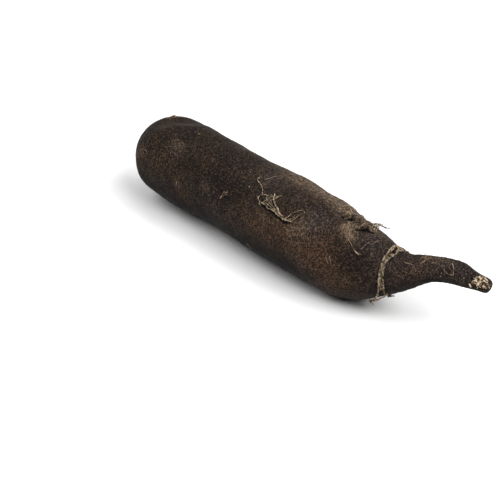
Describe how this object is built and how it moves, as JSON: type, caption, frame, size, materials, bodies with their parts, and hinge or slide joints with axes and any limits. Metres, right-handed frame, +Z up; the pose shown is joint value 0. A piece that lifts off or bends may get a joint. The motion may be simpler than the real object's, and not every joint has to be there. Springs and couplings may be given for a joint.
{
  "type": "black radish",
  "caption": "Whole long black radish lying on its side, with a bent tapering tail, a broken tip and dried rootlet tangles.",
  "frame": {"origin": "middle of the object's box, on the surface that it lies on", "axes": "+X along the root from the crown to the tail, +Y to the side that the tail bends to, +Z up"},
  "size_m": [0.3016, 0.0652, 0.0635],
  "materials": {
    "radish_skin": "matte corky skin",
    "dried_rootlet": "dull dry fibre"
  },
  "bodies": {
    "root": {"taproot": "radish_skin", "flank_rootlets": "dried_rootlet", "shoulder_rootlets": "dried_rootlet", "neck_rootlets": "dried_rootlet"}
  },
  "joints": []
}
